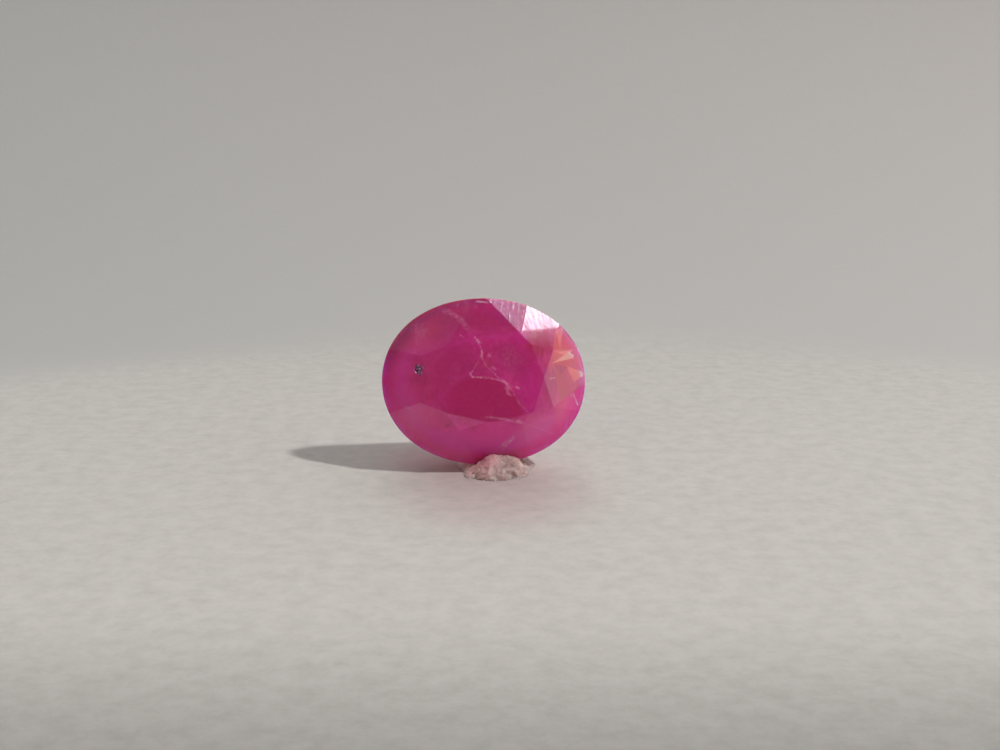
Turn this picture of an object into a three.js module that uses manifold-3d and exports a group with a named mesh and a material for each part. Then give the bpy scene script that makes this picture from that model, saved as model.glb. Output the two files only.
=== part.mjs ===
// An oval brilliant-cut ruby that stands on its edge in a small dab of putty.
// Millimetres, +Z up. The table of the stone faces -Y, leans back and is turned a little to +X.
// The origin is the middle of the bottom of the whole object's box.
import * as THREE from 'three';
import { ConvexGeometry } from 'three/addons/geometries/ConvexGeometry.js';
import { mergeVertices } from 'three/addons/utils/BufferGeometryUtils.js';
import Module from 'manifold-3d';

const wasm = await Module();
wasm.setup();

// The cut stone
const LENGTH = 11.0;            // long axis of the girdle
const WIDTH = 9.0;              // short axis of the girdle
const SHOULDER = 0.014;         // how far the outline swells beyond an ellipse on the diagonals, as a share
const GIRDLE = 0.3;             // girdle thickness where two facet tiers leave it widest
const CROWN_HEIGHT = 1.5;       // from the girdle's upper edge to the table
const PAVILION_DEPTH = 3.8;     // from the girdle's lower edge to the culet
const GIRDLE_STEPS = 144;       // points round the girdle

// The cutter's marks: degrees round the oval from the right-hand end over the top.
// Main facets touch the girdle at every second mark. The lower half mirrors the upper one.
const MARKS = [0, 22, 42, 64.5, 88.5, 112, 135, 157.5, 180];

// Outer tips of the star facets between the mains: degrees round the oval,
// share of the girdle's radius and share of the crown's height
const STAR_TIPS = [
  [27.2, 0.735, 0.78],
  [56, 0.62, 0.9],
  [113, 0.661, 0.785],
  [156, 0.675, 0.84],
  [204.2, 0.69, 0.865],
  [247, 0.661, 0.83],
  [303.5, 0.625, 0.94],
  [332.3, 0.735, 0.78],
];
const LOWER_TIP_SHARE = 0.3;    // inner tips of the lower girdle facets, of the girdle's radius
const LOWER_TIP_DEPTH = 0.755;  // and of the pavilion's depth

// An open crystal pit in the left main facet of the crown
const PIT_SIZE = [0.3, 0.44, 0.42];
const PIT_PLACE = [-3.58, 0.52, 1.46];
const PIT_TURN = [0.3, 0.2, 0.45];

// How the stone stands
const LEAN = 17.5;              // degrees that the table looks up from the horizontal
const TURN = 5;                 // degrees that it is turned to the right
const ROLL = -0.75;             // degrees that its long axis dips at the right-hand end
const SEAT_HEIGHT = 0.4;        // putty under the lowest point of the girdle

// The dab of putty, before the stone is pressed into it
const DAB_SIZE = [1.75, 2.3, 1.25];
const DAB_PLACE = [0.6, 0.5];
const DAB_SINK = 0.12;          // how far the middle of the lump lies under the base plane
const FOLD = 0.07;              // height of the three broad folds round the lump, of its radius
const CREASE = 0.04;            // and of the five creases that wind up between them
const DENT = 0.05;              // and of the finger dents all over it
const POCKET_GAP = 0.06;        // clearance between the stone and the putty

// The point at an angle round the oval, at a share of the girdle's radius
function ovalPoint(degrees, share, height) {
  const angle = THREE.MathUtils.degToRad(degrees);
  const swell = 1 + SHOULDER * Math.sin(2 * angle) ** 2;
  const x = (LENGTH / 2) * share * swell * Math.cos(angle);
  const y = (WIDTH / 2) * share * swell * Math.sin(angle);
  return new THREE.Vector3(x, y, height);
}

// Height of the plane through three points, above a point of the girdle's plane
function heightOver(corners, x, y) {
  const plane = new THREE.Plane().setFromCoplanarPoints(...corners);
  return -(plane.normal.x * x + plane.normal.y * y + plane.constant) / plane.normal.z;
}

// Mirrors a half turn of angles to the whole turn; the two ends aren't doubled.
function wholeTurn(degrees) {
  const mirrored = degrees.filter((angle) => angle > 0 && angle < 180).map((angle) => 360 - angle);
  return [...degrees, ...mirrored.reverse()];
}

// The corners of one side of the stone. Every facet is flat: a main facet passes through its mark and the
// two tips beside it, and a girdle facet through two neighbouring marks and the tip between them.
function sideCorners(edgeHeight, tips, flatHeight) {
  const marks = wholeTurn(MARKS).map((degrees) => ({ degrees, point: ovalPoint(degrees, 1, edgeHeight) }));
  const flat = [];
  for (let i = 0; i < tips.length; i += 1) {
    const mark = marks[2 * i].point;
    const main = [mark, tips[i], tips[(i + tips.length - 1) % tips.length]];
    const middleHeight = heightOver(main, 0, 0);
    const share = 1 - (flatHeight - edgeHeight) / (middleHeight - edgeHeight);
    flat.push(new THREE.Vector3(mark.x * share, mark.y * share, flatHeight));
  }
  const edge = [];
  for (let step = 0; step < GIRDLE_STEPS; step += 1) {
    const degrees = (360 * step) / GIRDLE_STEPS;
    const after = marks.findIndex((mark) => mark.degrees > degrees);
    const k = (after < 0 ? marks.length : after) - 1;
    const corners = [marks[k].point, marks[(k + 1) % marks.length].point, tips[Math.floor(k / 2)]];
    const point = ovalPoint(degrees, 1, 0);
    point.z = heightOver(corners, point.x, point.y);
    edge.push(point);
  }
  return [...flat, ...tips, ...edge, ...marks.map((mark) => mark.point)];
}

// The stone lying on its back: girdle in the XY plane, table towards +Z.
// The hull of its corners is the polished stone.
function brilliant() {
  const half = GIRDLE / 2;
  const starTips = STAR_TIPS.map(([degrees, share, height]) => (
    ovalPoint(degrees, share, half + height * CROWN_HEIGHT)
  ));
  const lowerTips = wholeTurn(MARKS).filter((degrees, i) => i % 2 === 1).map((degrees) => (
    ovalPoint(degrees, LOWER_TIP_SHARE, -half - LOWER_TIP_DEPTH * PAVILION_DEPTH)
  ));
  return new ConvexGeometry([
    ...sideCorners(half, starTips, half + CROWN_HEIGHT),
    ...sideCorners(-half, lowerTips, -half - PAVILION_DEPTH),
  ]);
}

// Closed solids for joining and cutting, and back again
function toSolid(geometry) {
  const bare = geometry.clone();
  bare.deleteAttribute('normal');
  bare.deleteAttribute('uv');
  const merged = mergeVertices(bare, 1e-5);
  return new wasm.Manifold(new wasm.Mesh({
    numProp: 3,
    vertProperties: new Float32Array(merged.attributes.position.array),
    triVerts: new Uint32Array(merged.index.array),
  }));
}

function toGeometry(solid) {
  const mesh = solid.getMesh();
  const geometry = new THREE.BufferGeometry();
  geometry.setAttribute('position', new THREE.BufferAttribute(mesh.vertProperties, 3));
  geometry.setIndex(new THREE.BufferAttribute(mesh.triVerts, 1));
  geometry.computeVertexNormals();
  return geometry;
}

// Turns the stone from lying to standing and sets its lowest point at the seat height.
function standingMatrix(geometry) {
  const roll = new THREE.Matrix4().makeRotationZ(THREE.MathUtils.degToRad(ROLL));
  const rise = new THREE.Matrix4().makeRotationX(THREE.MathUtils.degToRad(90 - LEAN));
  const turn = new THREE.Matrix4().makeRotationZ(THREE.MathUtils.degToRad(TURN));
  const matrix = turn.multiply(rise).multiply(roll);
  const lowest = new THREE.Vector3(0, 0, Infinity);
  const point = new THREE.Vector3();
  const position = geometry.attributes.position;
  for (let i = 0; i < position.count; i += 1) {
    point.fromBufferAttribute(position, i).applyMatrix4(matrix);
    if (point.z < lowest.z) {
      lowest.copy(point);
    }
  }
  const lift = new THREE.Matrix4().makeTranslation(0, -lowest.y, SEAT_HEIGHT - lowest.z);
  return lift.multiply(matrix);
}

function pitGeometry() {
  const pit = new THREE.OctahedronGeometry(1, 0);
  pit.scale(...PIT_SIZE);
  pit.rotateX(PIT_TURN[0]);
  pit.rotateY(PIT_TURN[1]);
  pit.rotateZ(PIT_TURN[2]);
  pit.translate(...PIT_PLACE);
  return pit;
}

// A kneaded lump: a sphere whose radius swells and sinks in broad folds
function dabGeometry() {
  const dab = new THREE.SphereGeometry(1, 44, 30);
  const position = dab.attributes.position;
  const point = new THREE.Vector3();
  for (let i = 0; i < position.count; i += 1) {
    point.fromBufferAttribute(position, i);
    const round = Math.atan2(point.y, point.x);
    const flank = Math.sqrt(Math.max(0, 1 - point.z * point.z));
    const folds = FOLD * Math.sin(3 * round + 0.6);
    const creases = CREASE * Math.sin(5 * round - 2.5 * point.z);
    const dents = DENT * Math.sin(4.2 * point.x + 1) * Math.cos(5.3 * point.y);
    point.multiplyScalar(1 + flank * (folds + creases) + dents);
    position.setXYZ(i, point.x, point.y, point.z);
  }
  dab.scale(...DAB_SIZE);
  dab.translate(DAB_PLACE[0], DAB_PLACE[1], -DAB_SINK);
  return dab;
}

// Everything below the base plane, to cut the putty flat where it was pressed down
function belowBase() {
  const size = 4 * LENGTH;
  const block = new THREE.BoxGeometry(size, size, size);
  block.translate(0, 0, -size / 2);
  return block;
}

function makeRuby(standing) {
  const stone = toSolid(brilliant()).subtract(toSolid(pitGeometry()));
  const geometry = toGeometry(stone);
  geometry.applyMatrix4(standing);
  const material = new THREE.MeshStandardMaterial({ color: 0xa02f67, roughness: 0.08, metalness: 0 });
  const mesh = new THREE.Mesh(geometry, material);
  mesh.name = 'ruby';
  return mesh;
}

function makePutty(standing) {
  const grow = 1 + (2 * POCKET_GAP) / WIDTH;
  const pocket = brilliant();
  pocket.scale(grow, grow, grow);
  pocket.applyMatrix4(standing);
  const dab = toSolid(dabGeometry()).subtract(toSolid(belowBase())).subtract(toSolid(pocket));
  const geometry = toGeometry(dab);
  const material = new THREE.MeshStandardMaterial({ color: 0x9d7478, roughness: 0.6, metalness: 0 });
  const mesh = new THREE.Mesh(geometry, material);
  mesh.name = 'putty';
  return mesh;
}

const standing = standingMatrix(brilliant());
const ruby = new THREE.Group();
ruby.add(makeRuby(standing));
ruby.add(makePutty(standing));

// The middle of the box's bottom becomes the origin.
const box = new THREE.Box3().setFromObject(ruby);
const middle = box.getCenter(new THREE.Vector3());
ruby.position.set(-middle.x, -middle.y, -box.min.z);
ruby.updateMatrixWorld(true);

export default ruby;
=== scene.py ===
# %% [markdown]
# # An oval ruby on a dab of putty
#
# This lesson finishes a cut ruby that stands on its edge in a small dab of putty. The CAD model gives the
# frame: where the stone and the putty are, and how large. Here both are modelled again with more care, as
# a cutter and a hand would make them, and get their real surfaces.
#
# The stone is about 11 mm long, so everything new is modelled with one Blender unit to the millimetre and
# shrunk to metres at the end. Edit-mode tools work with fixed tolerances, and those suit millimetres.

# %% The frame
import math
import random

import bpy
from mathutils import Matrix, Vector


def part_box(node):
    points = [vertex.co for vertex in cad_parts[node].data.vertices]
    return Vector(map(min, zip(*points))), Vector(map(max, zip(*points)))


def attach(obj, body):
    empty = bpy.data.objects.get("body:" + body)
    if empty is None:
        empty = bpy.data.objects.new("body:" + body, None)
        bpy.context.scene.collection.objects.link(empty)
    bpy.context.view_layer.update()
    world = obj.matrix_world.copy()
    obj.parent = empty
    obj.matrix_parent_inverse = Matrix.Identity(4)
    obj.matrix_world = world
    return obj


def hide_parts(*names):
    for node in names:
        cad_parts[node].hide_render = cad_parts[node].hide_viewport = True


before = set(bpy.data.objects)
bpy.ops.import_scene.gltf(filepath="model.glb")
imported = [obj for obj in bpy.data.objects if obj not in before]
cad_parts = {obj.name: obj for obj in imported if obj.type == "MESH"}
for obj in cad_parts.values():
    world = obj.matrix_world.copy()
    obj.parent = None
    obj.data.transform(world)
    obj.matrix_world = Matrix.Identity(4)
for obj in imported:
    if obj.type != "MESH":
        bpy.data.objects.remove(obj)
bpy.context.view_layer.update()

MM = 0.001

# %% [markdown]
# ## Small helpers
#
# Colours are written as the hex values that a screen shows. Blender's shaders calculate in linear light,
# so one function turns the one into the other. A second function adds a shader node together with its
# settings and links, which keeps every material below short.

# %% Colours and shader nodes
def linear(hex_colour):
    """An sRGB hex colour such as "#a02f67" as linear RGBA."""
    channels = [int(hex_colour[i:i + 2], 16) / 255 for i in (1, 3, 5)]
    straight = [c / 12.92 if c <= 0.04045 else ((c + 0.055) / 1.055) ** 2.4 for c in channels]
    return (*straight, 1.0)


def add_node(tree, kind, values=None, links=None, **settings):
    """Adds a node. values fills sockets, links feeds them from other nodes' outputs."""
    node = tree.nodes.new(kind)
    for name, setting in settings.items():
        setattr(node, name, setting)
    for socket, value in (values or {}).items():
        node.inputs[socket].default_value = value
    for socket, source in (links or {}).items():
        tree.links.new(source, node.inputs[socket])
    return node


def new_material(name):
    """A material with an empty node tree, and that tree."""
    material = bpy.data.materials.new(name)
    material.use_nodes = True
    material.node_tree.nodes.clear()
    return material, material.node_tree


def tint_by(tree, factor, *stops):
    """The colour that a pattern gives, through stops of (value of the pattern, hex colour)."""
    ramp = add_node(tree, "ShaderNodeValToRGB", links={"Fac": factor})
    elements = ramp.color_ramp.elements
    while len(elements) < len(stops):
        elements.new(0.5)
    for element, (position, colour) in zip(elements, stops):
        element.position = position
        element.color = linear(colour)
    return ramp.outputs["Color"]


# %% [markdown]
# Edit-mode operators act on whatever is selected, and the frame leaves its own nodes selected. So each new
# piece starts from a clean slate, and each finished piece is shrunk to metres, given its material and tied
# to the body that it belongs to.

# %% Starting and finishing a piece
def start_fresh():
    """Leaves nothing selected before a new primitive is added."""
    bpy.ops.object.select_all(action="DESELECT")
    bpy.context.view_layer.objects.active = None


def pick(piece):
    """Makes one object the only selected one."""
    start_fresh()
    piece.select_set(True)
    bpy.context.view_layer.objects.active = piece


def to_metres(piece, material, body="root"):
    """Shrinks a piece that was modelled in millimetres and ties it to its body."""
    pick(piece)
    piece.scale = (MM, MM, MM)
    piece.location = piece.location * MM
    bpy.ops.object.transform_apply(location=True, rotation=True, scale=True)
    if not piece.data.materials:
        piece.data.materials.append(material)
    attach(piece, body)
    print(piece.name, "has", len(piece.data.polygons), "faces")


# %% [markdown]
# ## Camera
#
# The camera comes early, so that every test picture can be laid beside the photograph. It is a 55 mm lens,
# 12 degrees above the surface and a hand's breadth away: close enough that the far side of the stone is
# visibly smaller. The stone sits a little left of and below the middle of the picture.

# %% The camera
STONE_MIDDLE = Vector((0.072, -0.353, 4.736))   # middle of the girdle, mm in the row frame
ELEVATION = math.radians(12)
DISTANCE = 82.6                                 # lens to girdle, mm
LENS = 55.0                                     # mm
SENSOR_WIDTH = 36.0
PICTURE_WIDTH = 1000                            # pixels
PIXELS_PER_UNIT = LENS / SENSOR_WIDTH * PICTURE_WIDTH    # pixels at a slope of 1
STONE_PIXEL = (485.3, 380.9)                    # where the middle of the girdle shows
PICTURE_MIDDLE = (500, 375)

sight_back = Vector((0, -math.cos(ELEVATION), math.sin(ELEVATION)))
sight_up = Vector((0, math.sin(ELEVATION), math.cos(ELEVATION)))
sight_right = Vector((1, 0, 0))
shift_right = (STONE_PIXEL[0] - PICTURE_MIDDLE[0]) / PIXELS_PER_UNIT * DISTANCE
shift_down = (STONE_PIXEL[1] - PICTURE_MIDDLE[1]) / PIXELS_PER_UNIT * DISTANCE
eye = STONE_MIDDLE + sight_back * DISTANCE - sight_right * shift_right + sight_up * shift_down

camera_data = bpy.data.cameras.new("camera")
camera_data.lens = LENS
camera_data.sensor_width = SENSOR_WIDTH
camera_data.clip_start = 0.001
camera_data.clip_end = 10.0
camera = bpy.data.objects.new("camera", camera_data)
bpy.context.scene.collection.objects.link(camera)
camera.location = eye * MM
camera.rotation_euler = sight_back.to_track_quat("Z", "Y").to_euler()
bpy.context.scene.camera = camera
print("camera at", [round(c, 1) for c in eye], "mm")

# %% [markdown]
# ## Cutting the stone
#
# A gem cutter starts from a rough preform with the right outline and grinds one flat facet after another
# on a turning lap. The same order works here. The preform is a flat disc with an oval outline, its top is
# the table and its bottom the culet. Each facet is one cut with the bisect tool, which takes off all that
# lies outside a plane and closes the cut with a new flat face. Facets made in this way are truly flat and
# meet in truly sharp edges, which no sculpted or subdivided surface would give.
#
# A plane is known by three points. The cutter's marks round the girdle and the tips of the star facets are
# those points. They were placed one by one for each facet, because hand-cut stones are never quite even.

# %% The stone's dimensions
LENGTH = 11.0
WIDTH = 9.0
SHOULDER = 0.014          # how far the outline swells beyond an ellipse on the diagonals
GIRDLE = 0.3
CROWN_HEIGHT = 1.5
PAVILION_DEPTH = 3.8
MARKS = [0, 22, 42, 64.5, 88.5, 112, 135, 157.5, 180]   # degrees, the lower half mirrors the upper one
STAR_TIPS = [
    # degrees, share of the girdle's radius, share of the crown's height
    (27.2, 0.735, 0.78),
    (56, 0.62, 0.9),
    (113, 0.661, 0.785),
    (156, 0.675, 0.84),
    (204.2, 0.69, 0.865),
    (247, 0.661, 0.83),
    (303.5, 0.625, 0.94),
    (332.3, 0.735, 0.78),
]
LOWER_TIP_SHARE = 0.3
LOWER_TIP_DEPTH = 0.755
PREFORM_STEPS = 144

table_height = GIRDLE / 2 + CROWN_HEIGHT
culet_height = -GIRDLE / 2 - PAVILION_DEPTH
all_marks = MARKS + [360 - degrees for degrees in reversed(MARKS[1:-1])]


def oval_point(degrees, share, height):
    """The point at an angle round the oval, at a share of the girdle's radius."""
    angle = math.radians(degrees)
    swell = 1 + SHOULDER * math.sin(2 * angle) ** 2
    x = LENGTH / 2 * share * swell * math.cos(angle)
    y = WIDTH / 2 * share * swell * math.sin(angle)
    return Vector((x, y, height))


crown_marks = [oval_point(degrees, 1, GIRDLE / 2) for degrees in all_marks]
crown_tips = [oval_point(d, share, GIRDLE / 2 + height * CROWN_HEIGHT) for d, share, height in STAR_TIPS]
pavilion_marks = [oval_point(degrees, 1, -GIRDLE / 2) for degrees in all_marks]
pavilion_tips = [oval_point(degrees, LOWER_TIP_SHARE, -GIRDLE / 2 - LOWER_TIP_DEPTH * PAVILION_DEPTH)
                 for degrees in all_marks[1::2]]
print("table", round(table_height, 2), "mm above the girdle's middle, culet", round(culet_height, 2))

# %% [markdown]
# The preform is a cylinder of as many sides as the girdle has steps. Each of its points is then moved out to
# the oval, which an ellipse alone wouldn't match: the real outline is a little fuller on the diagonals.

# %% The preform
start_fresh()
bpy.ops.mesh.primitive_cylinder_add(vertices=PREFORM_STEPS, radius=1, depth=table_height - culet_height,
                                    location=(0, 0, (table_height + culet_height) / 2))
stone = bpy.context.active_object
stone.name = "cut_stone"
bpy.ops.object.transform_apply(location=True, rotation=True, scale=True)
for vertex in stone.data.vertices:
    degrees = math.degrees(math.atan2(vertex.co.y, vertex.co.x))
    vertex.co = oval_point(degrees, 1, vertex.co.z)
print("preform", [round(side, 2) for side in stone.dimensions], "mm")


# %% [markdown]
# Now the cut itself. The three points may come in any order, so the plane's normal is first turned to point
# away from the middle of the stone. The table's corners aren't placed by eye: each is where a main facet
# meets the table, so it is worked out from that facet.

# %% A cut through three points
def grind(*corners):
    """Grinds the facet through three points: all that lies outside its plane goes."""
    a, b, c = corners
    normal = (b - a).cross(c - a).normalized()
    if normal.dot(a) < 0:
        normal.negate()
    bpy.ops.mesh.select_all(action="SELECT")
    bpy.ops.mesh.bisect(plane_co=a, plane_no=normal, use_fill=True, clear_outer=True, threshold=1e-5)


def flat_corner(mark, tip_after, tip_before, flat_height):
    """Where a main facet's plane meets the table, on the line from its mark to the stone's axis."""
    normal = (tip_after - mark).cross(tip_before - mark)
    middle_height = mark.z + (normal.x * mark.x + normal.y * mark.y) / normal.z
    share = 1 - (flat_height - mark.z) / (middle_height - mark.z)
    return Vector((mark.x * share, mark.y * share, flat_height))


# %% [markdown]
# Every mark at a main facet gives one main and two girdle facets beside it. The star facets between the
# mains and the table come last. What the cuts leave is then tidied: points that fall together are welded,
# and faces that lie in one plane become one face.

# %% Grinding the facets
WELD = 0.002             # mm between points that are one
ONE_PLANE = 0.3          # degrees between faces that are one
SMALLEST_FACET = 0.5     # square mm; whatever is smaller is a step of the girdle

bpy.ops.object.mode_set(mode="EDIT")
for marks, tips in ((crown_marks, crown_tips), (pavilion_marks, pavilion_tips)):
    for i, tip in enumerate(tips):
        grind(marks[2 * i], tip, tips[i - 1])
        grind(marks[2 * i], marks[2 * i + 1], tip)
        grind(marks[2 * i + 1], marks[(2 * i + 2) % len(marks)], tip)
table_corners = [flat_corner(crown_marks[2 * i], tip, crown_tips[i - 1], table_height)
                 for i, tip in enumerate(crown_tips)]
for i, tip in enumerate(crown_tips):
    grind(tip, table_corners[i], table_corners[(i + 1) % len(table_corners)])
bpy.ops.mesh.select_all(action="SELECT")
bpy.ops.mesh.remove_doubles(threshold=WELD)
bpy.ops.mesh.dissolve_limited(angle_limit=math.radians(ONE_PLANE))
bpy.ops.mesh.normals_make_consistent(inside=False)
bpy.ops.object.mode_set(mode="OBJECT")
facets = [face for face in stone.data.polygons if face.area > SMALLEST_FACET]
print(len(facets), "facets, the largest", round(max(face.area for face in facets), 1), "square mm")

# %% [markdown]
# ## The crystal pit
#
# A small crystal once sat in the left main facet, and the lap tore it out. What is left is an open,
# straight-sided pit. A sphere of four segments and two rings is an octahedron, the shape of such a
# crystal, and a Boolean takes it out of the stone.
#
# The stone and the pit each get a material slot here, and the Boolean carries the pit's slot over to the
# walls that it cuts. The finishes themselves come later.

# %% The pit
PIT_SIZE = (0.3, 0.44, 0.42)      # from its middle to its corners, mm
PIT_PLACE = (-3.58, 0.52, 1.46)   # in the stone as it lies on the lap
PIT_TURN = (0.3, 0.2, 0.45)       # radians, about X, Y and Z in turn


def finish_with(piece, kind, **settings):
    """Gives the picked piece a modifier with these settings and applies it."""
    modifier = piece.modifiers.new(kind, kind)
    for name, setting in settings.items():
        setattr(modifier, name, setting)
    bpy.ops.object.modifier_apply(modifier=modifier.name)


def take_out(piece, tool, **settings):
    """Takes one solid out of another and throws the tool away."""
    pick(piece)
    finish_with(piece, "BOOLEAN", object=tool, operation="DIFFERENCE", solver="EXACT", **settings)
    bpy.data.objects.remove(tool)


start_fresh()
bpy.ops.mesh.primitive_uv_sphere_add(segments=4, ring_count=2, radius=1)
pit = bpy.context.active_object
pit.scale = PIT_SIZE
bpy.ops.object.transform_apply(scale=True)
for turn, axis in zip(PIT_TURN, ("X", "Y", "Z")):
    pit.rotation_euler = Matrix.Rotation(turn, 3, axis).to_euler()
    bpy.ops.object.transform_apply(rotation=True)
pit.location = PIT_PLACE
bpy.ops.object.transform_apply(location=True)

stone.data.materials.append(bpy.data.materials.new("polished_ruby_place"))
pit.data.materials.append(bpy.data.materials.new("broken_ruby_place"))
take_out(stone, pit, material_mode="TRANSFER")
print("stone with its pit:", len(stone.data.polygons), "faces")

# %% [markdown]
# ## Setting the stone on its edge
#
# The stone was cut lying on its back. It is rolled a little about its own axis, tilted up until the table
# looks forward and 17.5 degrees upward, and turned 5 degrees to the right. The CAD node says where it
# stands, so it is moved until its box begins where the node's box begins.

# %% Standing up
LEAN = 17.5              # degrees that the table looks up from the horizontal
TURN = 5                 # degrees that the stone is turned to the right
ROLL = -0.75             # degrees that its long axis dips at the right-hand end


def box_corner(piece, smallest_or_largest):
    """A corner of a piece's box: the low one with min, the high one with max."""
    places = [vertex.co for vertex in piece.data.vertices]
    return Vector([smallest_or_largest(place[axis] for place in places) for axis in range(3)])


standing = (Matrix.Rotation(math.radians(TURN), 4, "Z")
            @ Matrix.Rotation(math.radians(90 - LEAN), 4, "X")
            @ Matrix.Rotation(math.radians(ROLL), 4, "Z"))
stone.data.transform(standing)
node_low, node_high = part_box("ruby")
move_home = node_low / MM - box_corner(stone, min)
stone.data.transform(Matrix.Translation(move_home))
too_low = node_high / MM - box_corner(stone, max)
print("off the CAD box by", [round(c, 4) for c in too_low], "mm")
girdle_middle = move_home
seat = min((vertex.co.copy() for vertex in stone.data.vertices), key=lambda place: place.z)
print("the stone's lowest point", [round(c, 2) for c in seat], "mm")

# %% [markdown]
# A real facet edge is never a mathematical line: polishing leaves it a few hundredths of a millimetre
# round, and that thread of roundness is what catches the light. A bevel gives it. The steps round the
# girdle are left out by the angle limit.

# %% Rounding the facet edges
EDGE_ROUNDNESS = 0.014   # mm
EDGE_ANGLE = 4           # degrees between two facets, from which their edge is rounded
SMOOTH_ANGLE = 3.5       # degrees: the rounding is shaded smooth, the facets stay flat

pick(stone)
bpy.ops.object.duplicate()
pocket = bpy.context.active_object     # a sharp copy, to press into the putty later
pick(stone)
bpy.ops.object.shade_flat()
finish_with(stone, "BEVEL", width=EDGE_ROUNDNESS, segments=2, limit_method="ANGLE",
            angle_limit=math.radians(EDGE_ANGLE))
bpy.ops.object.shade_smooth_by_angle(angle=math.radians(SMOOTH_ANGLE))
print("stone with round edges:", len(stone.data.polygons), "faces")

# %% [markdown]
# ## Polish lines
#
# The lap leaves fine parallel lines, and each facet met it in a direction of its own. So each facet gets
# its own patch of a UV map, laid flat on the facet, in millimetres, with V along the lines. The lines run
# roughly upright and swing a little from facet to facet.

# %% A UV map in millimetres for the polish lines
LINE_SWING = 18          # degrees that the lines swing to either side
LINE_STEP = 37.0         # any large number: the swing follows its sine, so that neighbours differ
PATCH_STEP = 3.1         # mm between the patches of one facet and the next
NEARLY_LEVEL = 0.05      # a facet that faces so nearly straight up has no upright direction

polish = stone.data.uv_layers.new(name="polish")
for number, face in enumerate(stone.data.polygons):
    across = face.normal.orthogonal().normalized()
    upright = Vector((0, 0, 1)) - face.normal * face.normal.z
    if upright.length > NEARLY_LEVEL:
        across = upright.cross(face.normal).normalized()
    swing = math.radians(LINE_SWING * math.sin(number * LINE_STEP))
    across = Matrix.Rotation(swing, 3, face.normal) @ across
    along = face.normal.cross(across)
    for corner in face.loop_indices:
        place = stone.data.vertices[stone.data.loops[corner].vertex_index].co
        polish.data[corner].uv = (place.dot(across) + number * PATCH_STEP, place.dot(along))
print("polish lines on", len(stone.data.polygons), "faces")

# %% [markdown]
# ## Marks that are placed at pixels
#
# Veils, stains and chips are easiest to place at a pixel: one reads a pixel off the photograph, and the
# camera says which way it looks through that pixel. A ray in that direction meets the piece at the place
# where the mark belongs. From then on the mark is a place on the piece, so it stays there in every view.

# %% Where a pixel of the photograph lies on a piece
def sight_through(pixel):
    """The way in which the camera looks through a pixel."""
    slope_right = (pixel[0] - PICTURE_MIDDLE[0]) / PIXELS_PER_UNIT
    slope_down = (pixel[1] - PICTURE_MIDDLE[1]) / PIXELS_PER_UNIT
    return (sight_right * slope_right - sight_up * slope_down - sight_back).normalized()


def seen_at(piece, pixel):
    """The point of a piece, still in millimetres, that shows at a pixel."""
    found, place = piece.ray_cast(eye, sight_through(pixel))[:2]
    if not found:
        raise ValueError(f"pixel {pixel} misses {piece.name}")
    return place


def on_stone(pixel):
    """The point of the stone that shows at a pixel, in metres."""
    return seen_at(stone, pixel) * MM


print("the table's middle is at", [round(c, 2) for c in seen_at(stone, STONE_PIXEL)], "mm")

# %% [markdown]
# ## The ruby's finish
#
# Ruby is corundum, refractive index 1.77, ground and then polished with diamond powder. A fine ruby is
# clear, but this one is sleepy: fine needles of silk inside it scatter the light, so it glows evenly from
# within and one hardly looks through it. Healed cracks run through it as silvery feathers, its colour is
# uneven in soft zones, chips on its edge are fresh and nearly white, and the back facets throw small bright
# triangles through its right end. Some zones, the rim's colour, the triangles and one glint are painted
# light and shade.
#
# The next cells lay these over one another, from the ground colour up, as a painter would. The ground is a
# cloudy pink with paler tufts of silk in it.

# %% The ruby's ground colour
CLOUD_SIZE = 2.2         # mm across one soft cloud
SILK_SIZE = 0.5          # mm across a tuft of silk
SILK_SHARE = 0.4         # how strongly the thickest silk shows


def lay_over(tree, share, below, above):
    """Lays one colour over another by a share from 0 to 1."""
    mix = add_node(tree, "ShaderNodeMix", None, {"Factor": share, 6: below}, data_type="RGBA")
    if isinstance(above, str):
        mix.inputs[7].default_value = linear(above)
    else:
        tree.links.new(above, mix.inputs[7])
    return mix.outputs[2]


ruby, tree = new_material("polished_ruby")
place = add_node(tree, "ShaderNodeTexCoord").outputs["Object"]
clouds = add_node(tree, "ShaderNodeTexNoise", {"Scale": 1 / (CLOUD_SIZE * MM), "Detail": 5.0,
                                               "Roughness": 0.6}, {"Vector": place})
colour = tint_by(tree, clouds.outputs["Fac"], (0.36, "#c82078"), (0.5, "#d82894"), (0.66, "#e83ca4"))
silk = add_node(tree, "ShaderNodeTexNoise", {"Scale": 1 / (SILK_SIZE * MM), "Detail": 5.0,
                                             "Roughness": 0.65, "Distortion": 0.8}, {"Vector": place})
share = add_node(tree, "ShaderNodeMapRange", {"From Min": 0.48, "From Max": 0.72, "To Max": SILK_SHARE},
                 {"Value": silk.outputs["Fac"]}).outputs["Result"]
colour = lay_over(tree, share, colour, "#f868a8")
print("ground colour from", len(tree.nodes), "nodes")

# %% [markdown]
# Some marks belong to a place in the standing stone, others to a part of the cut: the table, the crown or
# the rim. For those, a Mapping node lays the stone back on the lap, with the girdle's middle at the origin.
# It shrinks the oval to a circle of radius 1 as well, so that the distance from the axis says how near the
# rim a place is.

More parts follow.
